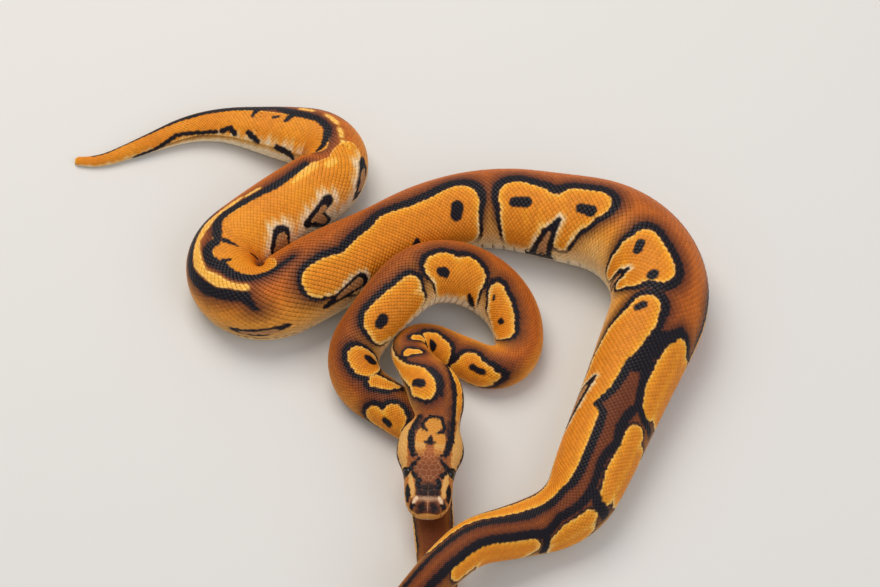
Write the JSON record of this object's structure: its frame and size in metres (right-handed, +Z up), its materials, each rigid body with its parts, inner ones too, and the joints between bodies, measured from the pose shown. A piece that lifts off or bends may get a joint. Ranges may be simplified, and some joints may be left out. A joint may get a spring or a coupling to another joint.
{
  "type": "coiled ball python",
  "caption": "Life-size ball python lying loosely coiled on its belly, head resting on its own body, as a still display model.",
  "frame": {"origin": "middle of the model's footprint, on the floor under its belly", "axes": "+Z up from the floor; the head points towards -Y and the tip of the tail towards -X"},
  "size_m": [0.3049, 0.3323, 0.0401],
  "materials": {
    "scaled_skin": "satin scales: golden orange flank marks edged in black on a brown back, with a cream belly",
    "head_skin": "satin scales: red-brown crown, golden cheek patches, black stripes and pale tan lips",
    "tail_skin": "satin scales: golden orange with a black line along the back",
    "eye_surface": "wet gloss over a dark brown iris and a black upright slit"
  },
  "bodies": {
    "root": {"head": "head_skin", "eye_left": "eye_surface", "eye_right": "eye_surface", "neck": "scaled_skin", "neck_fold": "scaled_skin", "trunk_01": "scaled_skin", "trunk_02": "scaled_skin", "trunk_03": "scaled_skin", "trunk_04": "scaled_skin", "trunk_05": "scaled_skin", "trunk_06": "scaled_skin", "trunk_07": "scaled_skin", "trunk_08": "scaled_skin", "trunk_09": "scaled_skin", "trunk_10": "scaled_skin", "trunk_11": "scaled_skin", "trunk_12": "scaled_skin", "trunk_13": "scaled_skin", "trunk_14": "scaled_skin", "trunk_15": "scaled_skin", "trunk_16": "scaled_skin", "trunk_17": "scaled_skin", "tail": "tail_skin"}
  },
  "joints": []
}
